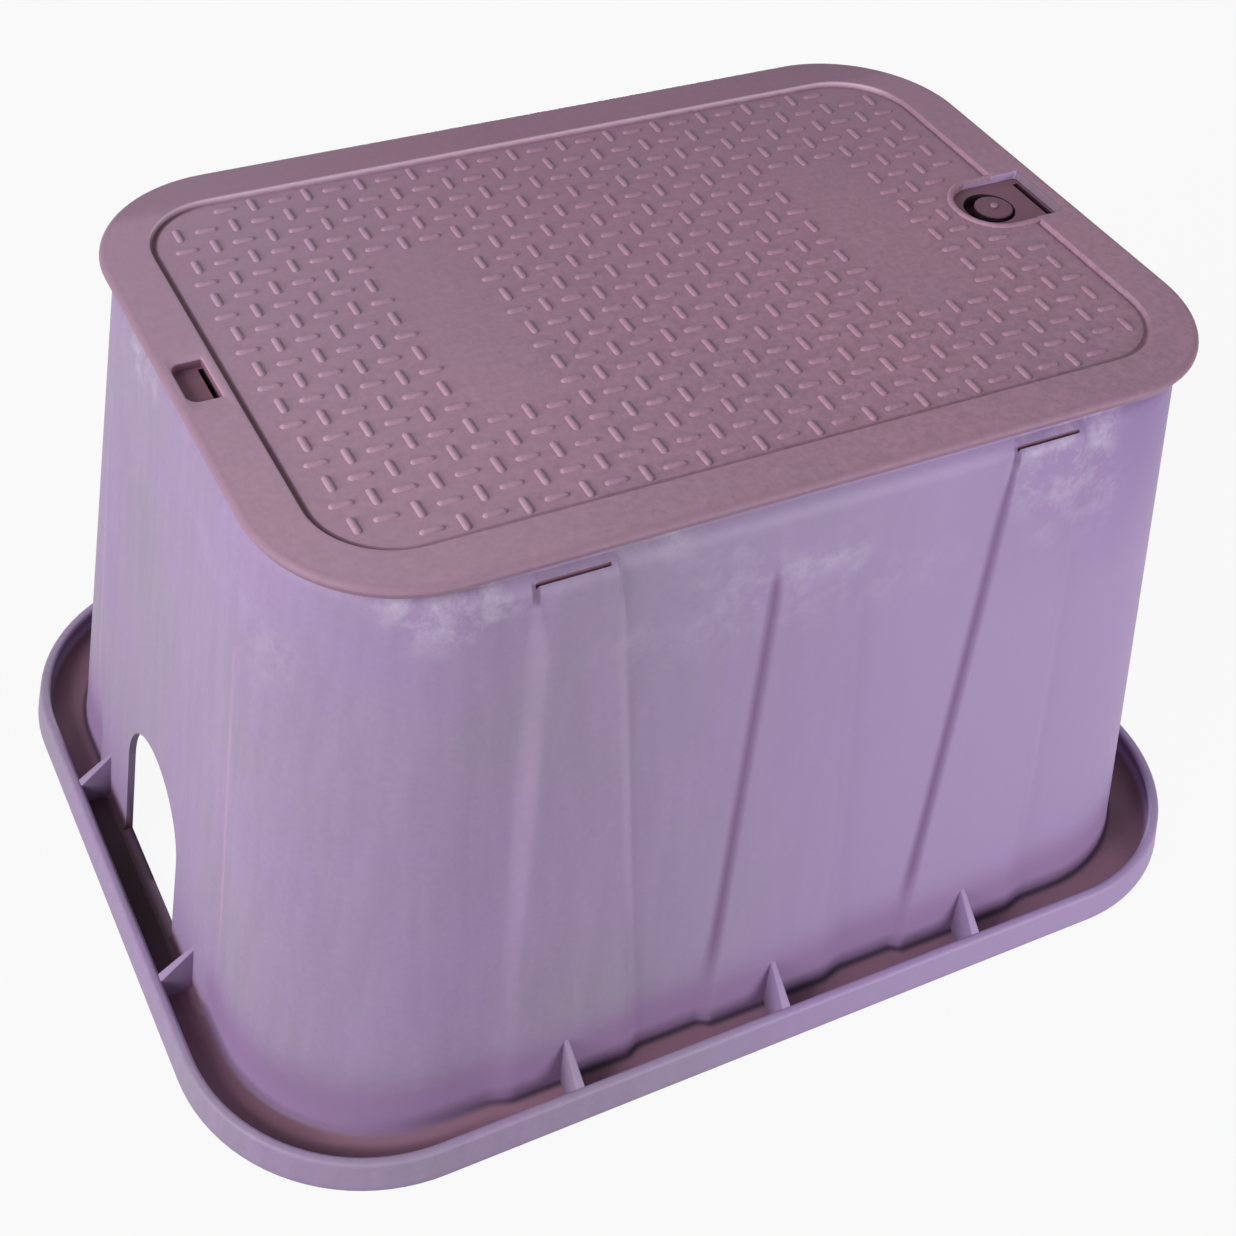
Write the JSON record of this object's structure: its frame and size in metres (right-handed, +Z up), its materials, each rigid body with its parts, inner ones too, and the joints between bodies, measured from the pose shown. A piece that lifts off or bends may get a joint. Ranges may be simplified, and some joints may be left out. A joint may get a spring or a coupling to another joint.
{
  "type": "irrigation valve box",
  "caption": "Tapered rectangular in-ground valve box with fluted long walls, upturned base flange, arched pipe slots and a loose treaded cover.",
  "frame": {"origin": "centre of the base flange's underside, which is the bottom centre of the whole part", "axes": "+Z up through the cover, +X along the box's length towards the lock recess, +Y along its width, away from the pictured long side"},
  "size_m": [0.548, 0.414, 0.305],
  "materials": {
    "box_plastic": "moulded structural foam polyethylene, pale purple, satin with faint flow swirls",
    "cover_plastic": "moulded structural foam polyethylene, mauve, fine matt grain"
  },
  "bodies": {
    "box": {"box_body": "box_plastic"},
    "cover": {"cover": "cover_plastic"}
  },
  "joints": [
    {"name": "cover_lift", "type": "slide", "parent": "box", "child": "cover", "axis": [0, 0, 1], "range_m": [0, 0.1]}
  ]
}
